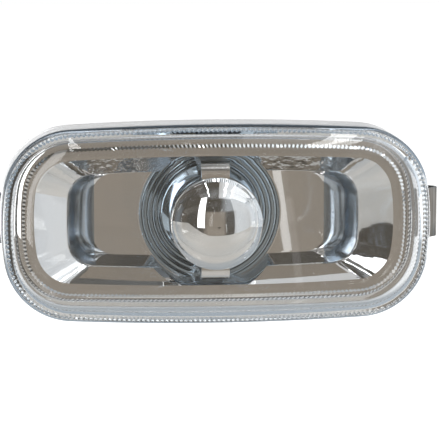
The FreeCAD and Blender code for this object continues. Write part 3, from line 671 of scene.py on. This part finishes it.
# %% [markdown]
# ## Lens
# The lens is one moulding of clear plastic: the same wall section all the way round a bowed oblong,
# with a row of small flutes on the inside. That is a rule, so Geometry Nodes make it: a grid of points is
# laid along the outline one way and along the wall section the other way.

# %% Outline of the lamp
LENS_HALF_LENGTH = 38.0
LENS_HALF_HEIGHT = 17.7
LONG_BOW_R = 480.0
END_BOW_R = 45.0
CORNER_R = 12.5
FLUTE_COUNT = 236
STEPS_PER_FLUTE = 4


def bowed_oblong(half_length, half_height, long_r, end_r, corner_r):
    """Eight arcs, each as centre x, centre z, radius, start angle and end angle."""
    ar, az = long_r - corner_r, half_height - long_r
    br, bx = end_r - corner_r, half_length - end_r
    gap = math.hypot(bx, az)
    along = (ar * ar - br * br + gap * gap) / (2.0 * gap)
    across = math.sqrt(ar * ar - along * along)
    cx = (along * bx - across * az) / gap
    cz = az + (-along * az - across * bx) / gap
    low = math.atan2(cz, cx - bx)
    high = math.atan2(cz - az, cx)
    pi = math.pi
    return [(bx, 0.0, end_r, -low, low), (cx, cz, corner_r, low, high),
            (0.0, az, long_r, high, pi - high), (-cx, cz, corner_r, pi - high, pi - low),
            (-bx, 0.0, end_r, pi - low, pi + low), (-cx, -cz, corner_r, pi + low, pi + high),
            (0.0, -az, long_r, pi + high, 2 * pi - high), (cx, -cz, corner_r, 2 * pi - high, 2 * pi - low)]


def walk_outline(arcs, count):
    """Points and outward directions at equal steps round the arcs, in millimetres."""
    lengths = [a[2] * (a[4] - a[3]) for a in arcs]
    total = sum(lengths)
    points, outward = [], []
    for k in range(count):
        rest = total * k / count
        for arc, length in zip(arcs, lengths):
            if rest <= length:
                break
            rest -= length
        angle = arc[3] + (arc[4] - arc[3]) * rest / length
        points.append((arc[0] + arc[2] * math.cos(angle), 0.0, arc[1] + arc[2] * math.sin(angle)))
        outward.append((math.cos(angle), 0.0, math.sin(angle)))
    return points, outward


lens_arcs = bowed_oblong(LENS_HALF_LENGTH, LENS_HALF_HEIGHT, LONG_BOW_R, END_BOW_R, CORNER_R)
around = FLUTE_COUNT * STEPS_PER_FLUTE
outline_points, outline_outward = walk_outline(lens_arcs, around)
wave = [1.0 - abs(1.0 - 2.0 * (k % STEPS_PER_FLUTE) / STEPS_PER_FLUTE) for k in range(around)]
print("outline steps", around)


# %% Wall section of the lens
LENS_REAR_Y = -0.3
LENS_CROWN_Y = -14.0
LENS_WALL = 1.9
SHOULDER_R = 6.0
SHOULDER_INSET = 6.1
INNER_ARC_END = 202.97
SKIRT_DRAFT = [(0.0, LENS_REAR_Y), (0.03, -3.0), (0.06, -6.0)]
SKIRT_WALL = 1.65
REBATE_WALL = 1.3
REBATE_FRONT_Y = -3.3
FLUTE_DEPTH = 0.35
FLUTE_FRONT_Y = -9.6
FLUTE_REAR_Y = -8.2
SHOULDER_STEPS = 14
FACE_STEPS = 12
INNER_STEPS = 10


def arc_rows(centre, radius, start, end, steps):
    """Points of an arc between two angles in degrees."""
    angles = [math.radians(start + (end - start) * k / steps) for k in range(steps + 1)]
    return [(centre[0] + radius * math.cos(a), centre[1] + radius * math.sin(a)) for a in angles]


def section_rows(rows, tooth=0.0, spread=1.0, crown=0.0):
    """Adds the tooth depth, the spread from the middle and the share of the crown to each inset and y."""
    return [(inset, y, tooth, spread, crown) for inset, y in rows]


shoulder_centre = (SHOULDER_INSET, LENS_CROWN_Y + SHOULDER_R)
outer_face = [(SHOULDER_INSET, LENS_CROWN_Y)]
inner_face = [(SHOULDER_INSET, LENS_CROWN_Y + LENS_WALL)]
lens_section = section_rows([(REBATE_WALL, LENS_REAR_Y)] + SKIRT_DRAFT)
for k, row in enumerate(arc_rows(shoulder_centre, SHOULDER_R, 180.0, 270.0, SHOULDER_STEPS)):
    lens_section += section_rows([row], crown=k / SHOULDER_STEPS)
for k in range(1, FACE_STEPS + 1):
    lens_section += section_rows(outer_face, spread=1.0 - k / FACE_STEPS, crown=1.0)
for k in range(FACE_STEPS, -1, -1):
    lens_section += section_rows(inner_face, spread=1.0 - k / FACE_STEPS, crown=1.0)
inner_arc = arc_rows(shoulder_centre, SHOULDER_R - LENS_WALL, 270.0, INNER_ARC_END, INNER_STEPS)
for k, row in enumerate(inner_arc[1:], 1):
    lens_section += section_rows([row], crown=1.0 - k / INNER_STEPS)
lens_section += section_rows([(SKIRT_WALL, FLUTE_FRONT_Y), (SKIRT_WALL, FLUTE_REAR_Y)], tooth=FLUTE_DEPTH)
lens_section += section_rows([(SKIRT_WALL, FLUTE_REAR_Y), (SKIRT_WALL, REBATE_FRONT_Y),
                              (REBATE_WALL, REBATE_FRONT_Y), (REBATE_WALL, LENS_REAR_Y)])
print("section rows", len(lens_section))


# %% Sweep tree
SEAM_DISTANCE = 1e-6


def guide_mesh(name, points, columns):
    mesh = bpy.data.meshes.new(name)
    mesh.from_pydata(points, [], [])
    for label, kind, values in columns:
        layer = mesh.attributes.new(label, kind, "POINT")
        field = "vector" if kind == "FLOAT_VECTOR" else "value"
        layer.data.foreach_set(field, np.array(values, np.float32).ravel())
    guide = bpy.data.objects.new(name, mesh)
    bpy.context.scene.collection.objects.link(guide)
    return guide


def sweep_tree():
    tree = bpy.data.node_groups.new("section_sweep", "GeometryNodeTree")
    face = tree.interface
    face.new_socket("Swept", in_out="OUTPUT", socket_type="NodeSocketGeometry")
    for label, kind in (("Outline", "NodeSocketObject"), ("Section", "NodeSocketObject"),
                        ("Steps around", "NodeSocketInt"), ("Section points", "NodeSocketInt"),
                        ("Crown radius", "NodeSocketFloat"), ("Finish", "NodeSocketMaterial")):
        face.new_socket(label, in_out="INPUT", socket_type=kind)
    given = add_node(tree, "NodeGroupInput").outputs
    grid = add_node(tree, "GeometryNodeMeshGrid")
    wire(tree, math_node(tree, "ADD", given["Steps around"], 1.0), grid.inputs["Vertices X"])
    wire(tree, given["Section points"], grid.inputs["Vertices Y"])
    index = add_node(tree, "GeometryNodeInputIndex").outputs[0]
    column = math_node(tree, "FLOOR", math_node(tree, "DIVIDE", math_node(tree, "ADD", index, 0.5),
                                                given["Section points"]))
    row = math_node(tree, "SUBTRACT", index, math_node(tree, "MULTIPLY", column, given["Section points"]))
    column = math_node(tree, "MODULO", column, given["Steps around"])

    def sample(guide, place, label, kind):
        info = add_node(tree, "GeometryNodeObjectInfo", transform_space="ORIGINAL")
        wire(tree, given[guide], info.inputs["Object"])
        pick = add_node(tree, "GeometryNodeSampleIndex", data_type=kind, domain="POINT")
        wire(tree, info.outputs["Geometry"], pick.inputs["Geometry"])
        if label:
            source = add_node(tree, "GeometryNodeInputNamedAttribute", data_type=kind)
            source.inputs["Name"].default_value = label
            wire(tree, source.outputs[0], pick.inputs["Value"])
        else:
            wire(tree, add_node(tree, "GeometryNodeInputPosition").outputs[0], pick.inputs["Value"])
        wire(tree, place, pick.inputs["Index"])
        return pick.outputs[0]

    point = sample("Outline", column, "", "FLOAT_VECTOR")
    outward = sample("Outline", column, "outward", "FLOAT_VECTOR")
    tooth_share = sample("Outline", column, "wave", "FLOAT")
    wall = vector_node(tree, "ADD", sample("Section", row, "", "FLOAT_VECTOR"),
                       vector_node(tree, "SCALE", sample("Section", row, "tooth", "FLOAT_VECTOR"),
                                   scale=tooth_share))
    parts = add_node(tree, "ShaderNodeSeparateXYZ")
    wire(tree, wall, parts.inputs[0])
    flat = vector_node(tree, "SUBTRACT", point, vector_node(tree, "SCALE", outward, scale=parts.outputs["X"]))
    flat = vector_node(tree, "SCALE", flat, scale=sample("Section", row, "spread", "FLOAT"))
    reach = add_node(tree, "ShaderNodeVectorMath", operation="DOT_PRODUCT")
    wire(tree, flat, reach.inputs[0])
    wire(tree, flat, reach.inputs[1])
    sag = math_node(tree, "DIVIDE", reach.outputs["Value"],
                    math_node(tree, "MULTIPLY", given["Crown radius"], 2.0))
    sag = math_node(tree, "MULTIPLY", sag, sample("Section", row, "crown", "FLOAT"))
    depth = add_node(tree, "ShaderNodeCombineXYZ")
    wire(tree, math_node(tree, "ADD", parts.outputs["Y"], sag), depth.inputs["Y"])
    place = add_node(tree, "GeometryNodeSetPosition")
    wire(tree, grid.outputs["Mesh"], place.inputs["Geometry"])
    wire(tree, vector_node(tree, "ADD", flat, depth.outputs[0]), place.inputs["Position"])
    weld = add_node(tree, "GeometryNodeMergeByDistance")
    weld.inputs["Distance"].default_value = SEAM_DISTANCE
    wire(tree, place.outputs[0], weld.inputs["Geometry"])
    solid = add_node(tree, "GeometryNodeRealizeInstances")
    wire(tree, weld.outputs[0], solid.inputs["Geometry"])
    paint = add_node(tree, "GeometryNodeSetMaterial")
    wire(tree, solid.outputs[0], paint.inputs["Geometry"])
    wire(tree, given["Finish"], paint.inputs["Material"])
    wire(tree, paint.outputs[0], add_node(tree, "NodeGroupOutput").inputs["Swept"])
    return tree


# %% Run the sweep
def run_tree(name, tree, values, finish):
    """Evaluates a geometry tree on an empty mesh and returns the result as a plain mesh object."""
    carrier = bpy.data.objects.new(name, bpy.data.meshes.new(name))
    bpy.context.scene.collection.objects.link(carrier)
    modifier = carrier.modifiers.new("tree", "NODES")
    modifier.node_group = tree
    settings = {**values, "Finish": finish}
    for item in tree.interface.items_tree:
        if item.in_out == "INPUT" and item.name in settings:
            modifier[item.identifier] = settings[item.name]
    bpy.context.view_layer.update()
    graph = bpy.context.evaluated_depsgraph_get()
    mesh = bpy.data.meshes.new_from_object(carrier.evaluated_get(graph))
    carrier.modifiers.remove(modifier)
    carrier.data = mesh
    mesh.name = name
    mesh.materials.clear()
    mesh.materials.append(finish)
    return carrier


SHARP_ANGLE = math.radians(32.0)
CROWN_R = 640.0 * MM
DOUBLES_DISTANCE = 2e-6
DEGENERATE_DISTANCE = 1e-7
section_sweep = sweep_tree()


def sweep_piece(name, points, outward, wave, section, finish):
    """Sweeps the rows of a section round an outline."""
    outline_guide = guide_mesh(name + "_outline", [tuple(v * MM for v in p) for p in points],
                               [("outward", "FLOAT_VECTOR", outward), ("wave", "FLOAT", wave)])
    section_guide = guide_mesh(name + "_section", [(r[0] * MM, r[1] * MM, 0.0) for r in section],
                               [("tooth", "FLOAT_VECTOR", [(r[2] * MM, 0.0, 0.0) for r in section]),
                                ("spread", "FLOAT", [r[3] for r in section]),
                                ("crown", "FLOAT", [r[4] for r in section])])
    piece = run_tree(name, section_sweep,
                     {"Outline": outline_guide, "Section": section_guide, "Steps around": len(points),
                      "Section points": len(section), "Crown radius": CROWN_R}, finish)
    for guide in (outline_guide, section_guide):
        bpy.data.objects.remove(guide)
    return piece


def settle_mesh(obj, sharp=SHARP_ANGLE):
    """Welds doubles, drops loose edges, turns the faces outwards and marks the sharp edges."""
    work = bmesh.new()
    work.from_mesh(obj.data)
    bmesh.ops.remove_doubles(work, verts=work.verts, dist=DOUBLES_DISTANCE)
    bmesh.ops.dissolve_degenerate(work, edges=work.edges, dist=DEGENERATE_DISTANCE)
    bmesh.ops.delete(work, geom=[e for e in work.edges if not e.link_faces], context="EDGES")
    bmesh.ops.recalc_face_normals(work, faces=work.faces)
    work.to_mesh(obj.data)
    open_edges = sum(1 for e in work.edges if len(e.link_faces) != 2)
    work.free()
    obj.data.shade_smooth()
    obj.data.set_sharp_from_angle(angle=sharp)
    print(obj.name, "faces", len(obj.data.polygons), "open edges", open_edges)


# %% Fluted lens
lens = sweep_piece("fluted_lens", outline_points, outline_outward, wave, lens_section, clear)
settle_mesh(lens)
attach(lens, "lamp_body")
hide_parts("lens")

# %% [markdown]
# ## Rings of the well
# Round the ball the reflector is dished, and its bright rings throw the side light back to the eye. A
# flat step would only mirror the dark room, so each ring is a small bulge. The rings follow a rule, so
# the tree that swept the lens sweeps them too, this time round a circle.

# %% Well rings
RING_COUNT = 4
RING_OUTER_R = 12.8
RING_INNER_R = 8.8
RING_FRONT_Y = 6.98
RING_REAR_Y = 8.10
RING_BULGE = 0.13
RING_ROWS = 7
COLLAR_CREST = (6.75, 7.35)
COLLAR_BULGE = 0.05
COLLAR_END = (6.5, 8.75)
RING_SHEET = 0.12
RING_STEPS_AROUND = 192
RING_SHARP = math.radians(75.0)
circle = [(0.0, 0.0, RING_OUTER_R, 0.0, 2.0 * math.pi)]
circle_points, circle_outward = walk_outline(circle, RING_STEPS_AROUND)
ring_rows = []
for k in range(RING_COUNT * RING_ROWS + 1):
    share = k / (RING_COUNT * RING_ROWS)
    along = (k % RING_ROWS) / RING_ROWS
    fall = RING_FRONT_Y + (RING_REAR_Y - RING_FRONT_Y) * share
    ring_rows.append(((RING_OUTER_R - RING_INNER_R) * share, fall - RING_BULGE * 4.0 * along * (1.0 - along)))
for k in range(1, RING_ROWS + 1):
    along = k / RING_ROWS
    radius = RING_INNER_R + (COLLAR_CREST[0] - RING_INNER_R) * along
    rise = RING_REAR_Y + (COLLAR_CREST[1] - RING_REAR_Y) * along
    ring_rows.append((RING_OUTER_R - radius, rise - COLLAR_BULGE * 4.0 * along * (1.0 - along)))
collar_inset = RING_OUTER_R - COLLAR_END[0]
ring_rows += [(collar_inset, COLLAR_CREST[1] + RING_SHEET), (collar_inset, COLLAR_END[1]),
              (collar_inset - RING_SHEET, COLLAR_END[1]),
              (RING_OUTER_R - RING_INNER_R, RING_REAR_Y + RING_SHEET), (0.0, RING_FRONT_Y + RING_SHEET),
              (0.0, RING_FRONT_Y)]
well_rings = sweep_piece("well_rings", circle_points, circle_outward, [0.0] * RING_STEPS_AROUND,
                         section_rows(ring_rows), ring_chrome)
settle_mesh(well_rings, RING_SHARP)
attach(well_rings, "lamp_body")

# %% [markdown]
# ## Spring clip
# The clip is a strip of spring steel folded over a tongue of the housing: one leg with a window that a
# nub catches, a fold, and a long springy nose that bulges out past the lens and presses against the
# panel's edge. The middle line is drawn with rounded corners, laid out as a sheet, and given its
# thickness and broken edges by two modifiers.

# %% Clip line
CLIP_LINE = [(31.8, 6.2), (31.8, 12.3), (33.9, 12.3), (34.4, 10.8), (42.19, 5.4), (39.29, 2.7)]
CLIP_BENDS = [0.8, 0.8, 1.6, 1.6]
CLIP_THICKNESS = 0.5
CLIP_HALF_WIDTH = 4.5
CLIP_WINDOW_Y = (7.5, 9.7)
CLIP_WINDOW_HALF = 1.8
CLIP_WINDOW_CELL = (1, 1)
CLIP_EDGE = 0.10
CLIP_EDGE_STEPS = 2
CLIP_EDGE_ANGLE = math.radians(50.0)
BEND_STEPS = 8


def rounded_line(corners, radii, steps):
    """Line through the corners, each inner corner replaced by an arc of its radius."""
    points = [Vector(corners[0])]
    for before, corner, after, radius in zip(corners, corners[1:], corners[2:], radii):
        corner = Vector(corner)
        back = (Vector(before) - corner).normalized()
        ahead = (Vector(after) - corner).normalized()
        half = back.angle(ahead) / 2.0
        centre = corner + (back + ahead).normalized() * radius / math.sin(half)
        start = corner + back * radius / math.tan(half) - centre
        turn = math.pi - 2.0 * half
        side = 1.0 if back.x * ahead.y - back.y * ahead.x < 0.0 else -1.0
        for k in range(steps + 1):
            angle = side * turn * k / steps
            points.append(centre + Vector((start.x * math.cos(angle) - start.y * math.sin(angle),
                                           start.x * math.sin(angle) + start.y * math.cos(angle))))
    points.append(Vector(corners[-1]))
    return points


# %% Clip sheet
clip_path = rounded_line(CLIP_LINE, CLIP_BENDS, BEND_STEPS)
clip_path[1:1] = [Vector((CLIP_LINE[0][0], y)) for y in CLIP_WINDOW_Y]
clip_z = [-CLIP_HALF_WIDTH, -CLIP_WINDOW_HALF, CLIP_WINDOW_HALF, CLIP_HALF_WIDTH]
clip_points = [(p.x * MM, p.y * MM, z * MM) for p in clip_path for z in clip_z]
clip_faces = []
for i in range(len(clip_path) - 1):
    for j in range(len(clip_z) - 1):
        if (i, j) == CLIP_WINDOW_CELL:
            continue
        corner = i * len(clip_z) + j
        clip_faces.append((corner, corner + 1, corner + len(clip_z) + 1, corner + len(clip_z)))
clip_mesh = bpy.data.meshes.new("clip_strip")
clip_mesh.from_pydata(clip_points, [], clip_faces)
clip_mesh.materials.append(steel)
clip_strip = bpy.data.objects.new("clip_strip", clip_mesh)
bpy.context.scene.collection.objects.link(clip_strip)
wall = clip_strip.modifiers.new("wall", "SOLIDIFY")
wall.thickness = CLIP_THICKNESS * MM
wall.offset = 0.0
edge = clip_strip.modifiers.new("edge", "BEVEL")
edge.width = CLIP_EDGE * MM
edge.segments = CLIP_EDGE_STEPS
edge.limit_method = "ANGLE"
edge.angle_limit = CLIP_EDGE_ANGLE
bpy.context.view_layer.update()
clip_mesh = bpy.data.meshes.new_from_object(clip_strip.evaluated_get(bpy.context.evaluated_depsgraph_get()))
clip_strip.modifiers.clear()
clip_strip.data = clip_mesh
settle_mesh(clip_strip)
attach(clip_strip, "lamp_body")
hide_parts("spring_clip")

# %% [markdown]
# ## Grip ribs
# A hand turns the bulb holder by the rim of its flange, so that rim carries a ring of small ribs. They
# repeat, so a second tree places one short bar at every point of a circle. The bars sit half inside the
# rim and turn with the holder.

# %% Rib tree
RIB_COUNT = 40
RIB_SIDES = 12
RIB_R = 0.42 * MM
RIB_LENGTH = 1.7 * MM
FLANGE_R = 11.8 * MM
FLANGE_MID_Y = 17.8 * MM


def rib_tree():
    tree = bpy.data.node_groups.new("grip_ribs", "GeometryNodeTree")
    face = tree.interface
    face.new_socket("Ribs", in_out="OUTPUT", socket_type="NodeSocketGeometry")
    for label, kind in (("Count", "NodeSocketInt"), ("Circle radius", "NodeSocketFloat"),
                        ("Depth", "NodeSocketVector"), ("Bar radius", "NodeSocketFloat"),
                        ("Bar length", "NodeSocketFloat"), ("Finish", "NodeSocketMaterial")):
        face.new_socket(label, in_out="INPUT", socket_type=kind)
    given = add_node(tree, "NodeGroupInput").outputs
    ring = add_node(tree, "GeometryNodeMeshCircle")
    wire(tree, given["Count"], ring.inputs["Vertices"])
    wire(tree, given["Circle radius"], ring.inputs["Radius"])
    bar = add_node(tree, "GeometryNodeMeshCylinder", fill_type="NGON")
    bar.inputs["Vertices"].default_value = RIB_SIDES
    wire(tree, given["Bar radius"], bar.inputs["Radius"])
    wire(tree, given["Bar length"], bar.inputs["Depth"])
    spread = add_node(tree, "GeometryNodeInstanceOnPoints")
    wire(tree, ring.outputs["Mesh"], spread.inputs["Points"])
    wire(tree, bar.outputs["Mesh"], spread.inputs["Instance"])
    stand = add_node(tree, "GeometryNodeTransform")
    stand.inputs["Rotation"].default_value = (math.radians(90.0), 0.0, 0.0)
    wire(tree, spread.outputs[0], stand.inputs["Geometry"])
    wire(tree, given["Depth"], stand.inputs["Translation"])
    solid = add_node(tree, "GeometryNodeRealizeInstances")
    wire(tree, stand.outputs[0], solid.inputs["Geometry"])
    paint = add_node(tree, "GeometryNodeSetMaterial")
    wire(tree, solid.outputs[0], paint.inputs["Geometry"])
    wire(tree, given["Finish"], paint.inputs["Material"])
    wire(tree, paint.outputs[0], add_node(tree, "NodeGroupOutput").inputs["Ribs"])
    return tree


# %% Run the ribs
ribs = run_tree("grip_ribs", rib_tree(),
                {"Count": RIB_COUNT, "Circle radius": FLANGE_R, "Depth": (0.0, FLANGE_MID_Y, 0.0),
                 "Bar radius": RIB_R, "Bar length": RIB_LENGTH}, polyamide)
settle_mesh(ribs)
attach(ribs, "bulb_carrier")

# %% [markdown]
# ## Sizes
# The dressed lamp must stay as large as the CAD model.

# %% End
print("done")
